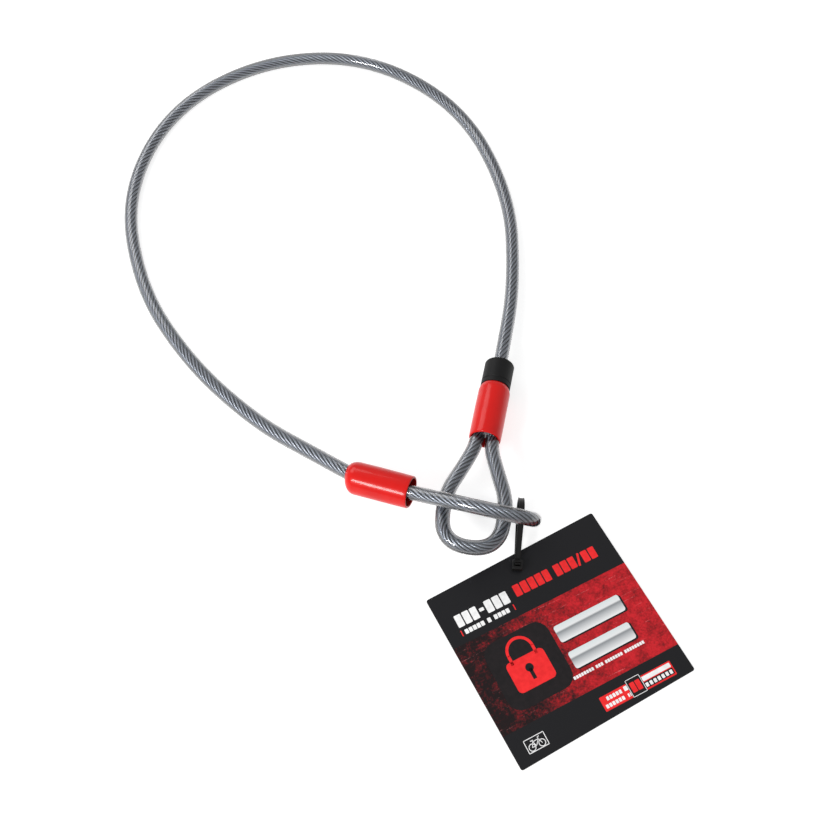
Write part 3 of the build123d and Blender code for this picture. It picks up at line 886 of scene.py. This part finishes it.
def strap_piece():
    """the slack strap: a rail along each edge of a thinner web, in one smooth loop"""
    guide = jacket("tie_guide", tie_route, 24)
    line = centre_line(guide)
    bpy.data.objects.remove(guide)
    half, web = TIE_WIDTH / 2, TIE_THICK / 2
    section = [(-half, -web + 0.12), (-half + 0.12, -web), (-half + 0.55, -web), (-half + 0.7, -web + 0.3),
               (half - 0.7, -web + 0.3), (half - 0.55, -web), (half - 0.12, -web), (half, -web + 0.12),
               (half, web - 0.12), (half - 0.12, web), (half - 0.55, web), (half - 0.72, web - 0.28),
               (-half + 0.72, web - 0.28), (-half + 0.55, web), (-half + 0.12, web), (-half, web - 0.12)]
    points, faces = [], []
    for i, place in enumerate(line):
        before, after = line[max(i - 1, 0)], line[min(i + 1, len(line) - 1)]
        outward = tie_side.cross((after - before).normalized())
        points += [place + (tie_side * x + outward * y) * MM for x, y in section]
    count = len(section)
    for i in range(len(line) - 1):
        for k in range(count):
            after = (k + 1) % count
            faces.append((i * count + k, i * count + after, (i + 1) * count + after, (i + 1) * count + k))
    faces.append(tuple(range(count))[::-1])
    faces.append(tuple((len(line) - 1) * count + k for k in range(count)))
    mesh = bpy.data.meshes.new("tie_strap")
    mesh.from_pydata([tuple(p) for p in points], [], faces)
    mesh.validate()
    made = bpy.data.objects.new("tie_strap", mesh)
    bpy.context.scene.collection.objects.link(made)
    bpy.ops.object.select_all(action="DESELECT")
    made.select_set(True)
    bpy.context.view_layer.objects.active = made
    bpy.ops.object.mode_set(mode="EDIT")
    bpy.ops.mesh.select_all(action="SELECT")
    bpy.ops.mesh.normals_make_consistent(inside=False)
    bpy.ops.object.mode_set(mode="OBJECT")
    bpy.ops.object.shade_smooth_by_angle(angle=math.radians(32))
    return made, line


def tooth_row(line):
    """ramped teeth on the inner side of the strap's web, one every 1.3 mm"""
    bpy.ops.object.select_all(action="DESELECT")
    bpy.ops.mesh.primitive_cube_add(size=1, scale=(0.95 * MM, 2.3 * MM, 0.34 * MM))
    tooth = bpy.context.active_object
    bpy.ops.object.transform_apply(location=False, rotation=False, scale=True)
    for vertex in tooth.data.vertices:
        if vertex.co.z > 0 and vertex.co.x < 0:
            vertex.co.z = -0.1 * MM
    teeth, travelled, wanted = [], 0.0, 9.0 * MM
    for before, here in zip(line, line[1:]):
        step = (here - before).length
        while wanted <= travelled + step:
            place = before.lerp(here, (wanted - travelled) / step)
            tangent = (here - before).normalized()
            inward = tangent.cross(tie_side)
            copy = tooth.copy()
            copy.data = tooth.data.copy()
            bpy.context.scene.collection.objects.link(copy)
            turn = Matrix((tangent, tie_side, inward)).transposed().to_4x4()
            turn.translation = place + inward * 0.42 * MM
            copy.data.transform(turn)
            teeth.append(copy)
            wanted += 1.3 * MM
        travelled += step
    bpy.data.objects.remove(tooth)
    return teeth


def tie_head():
    """the square head: bevelled box, a slot sunk from above for the tail, a pawl in it"""
    bpy.ops.object.select_all(action="DESELECT")
    bpy.ops.mesh.primitive_cube_add(size=1, scale=(6.6 * MM, 6.8 * MM, HEAD_HEIGHT * MM))
    head = bpy.context.active_object
    bpy.ops.object.transform_apply(location=False, rotation=False, scale=True)
    bpy.ops.object.mode_set(mode="EDIT")
    bpy.ops.mesh.select_all(action="SELECT")
    bpy.ops.mesh.bevel(offset=0.7 * MM, segments=3, affect="EDGES")
    bpy.ops.mesh.select_all(action="DESELECT")
    bpy.ops.object.mode_set(mode="OBJECT")
    for face in head.data.polygons:
        face.select = face.normal.z > 0.99
    bpy.ops.object.mode_set(mode="EDIT")
    bpy.ops.mesh.inset(thickness=0.25 * MM)
    bpy.ops.transform.resize(value=(2.6 / 4.7, 4.4 / 4.9, 1))
    bpy.ops.mesh.extrude_region_move(TRANSFORM_OT_translate={"value": (0, 0, -0.4 * MM)})
    bpy.ops.transform.resize(value=(0.86, 0.94, 1))
    bpy.ops.mesh.extrude_region_move(TRANSFORM_OT_translate={"value": (0, 0, -4.3 * MM)})
    bpy.ops.object.mode_set(mode="OBJECT")
    bpy.ops.mesh.primitive_cube_add(size=1, location=(0.85 * MM, 0, 0.2 * MM),
                                    scale=(0.5 * MM, 3.2 * MM, 3.0 * MM))
    pawl = bpy.context.active_object
    bpy.ops.object.transform_apply(location=True, rotation=False, scale=True)
    bpy.ops.object.mode_set(mode="EDIT")
    bpy.ops.mesh.select_all(action="SELECT")
    bpy.ops.mesh.bevel(offset=0.12 * MM, segments=2, affect="EDGES")
    bpy.ops.object.mode_set(mode="OBJECT")
    turn = Matrix((tie_along, -tie_side, Vector((0, 0, 1)))).transposed().to_4x4()
    turn.translation = on_tie(0, Z_HEAD + HEAD_HEIGHT / 2)
    for part in (head, pawl):
        apply_place(part, turn)
    bpy.context.view_layer.objects.active = head
    head.select_set(True)
    bpy.ops.object.shade_smooth_by_angle(angle=math.radians(32))
    return [head, pawl]


strap, strap_line = strap_piece()
cable_tie = join_pieces("cable_tie_strap", [strap] + tie_head() + tooth_row(strap_line))
cable_tie.data.materials.clear()
cable_tie.data.materials.append(TIE_NYLON)
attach(cable_tie, "tie")
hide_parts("cable_tie")

# ---------------------------------------------------------------- carried-over CAD nodes
for node_name, finish in (("collar", COLLAR_PLASTIC),
                          ("ferrule_a", SLEEVE), ("ferrule_b", SLEEVE), ("hang_tag", CARD)):
    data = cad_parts[node_name].data
    data.materials.clear()
    data.materials.append(finish)

# ---------------------------------------------------------------- stage and light
bpy.ops.mesh.primitive_plane_add(size=6)
floor = bpy.context.active_object
floor.name = "floor"
floor_paint, floor_tree, floor_output = new_material("white_table")
# a white sheet on a light table: it glows a little, so shadows stay faint
floor_shade = add_node(floor_tree, "ShaderNodeBsdfPrincipled",
                       {"Base Color": (0.5, 0.5, 0.5, 1), "Roughness": 0.9, "Specular IOR Level": 0.0,
                        "Emission Color": (1, 1, 1, 1), "Emission Strength": 0.7})
floor_tree.links.new(floor_shade.outputs[0], floor_output.inputs["Surface"])
floor.data.materials.append(floor_paint)

world = bpy.data.worlds.new("studio")
world.use_nodes = True
world.node_tree.nodes["Background"].inputs["Color"].default_value = (1, 1, 1, 1)
world.node_tree.nodes["Background"].inputs["Strength"].default_value = 0.62
bpy.context.scene.world = world
bpy.context.scene.view_settings.view_transform = "Standard"


def soft_box(name, place, aim, width, height, power):
    """a flat soft lamp that looks at a point and stays out of every view"""
    lamp = bpy.data.lights.new(name, "AREA")
    lamp.shape = "RECTANGLE"
    lamp.size, lamp.size_y, lamp.energy = width, height, power
    made = bpy.data.objects.new(name, lamp)
    made.location = place
    made.rotation_euler = (Vector(place) - Vector(aim)).to_track_quat("Z", "Y").to_euler()
    made.visible_camera = False
    bpy.context.scene.collection.objects.link(made)


soft_box("key", (-0.72, -0.72, 0.75), (0.0, -0.11, 0.02), 0.45, 0.25, 10)
soft_box("back_fill", (-0.55, 0.62, 0.66), (0.05, -0.08, 0), 0.7, 0.5, 3)
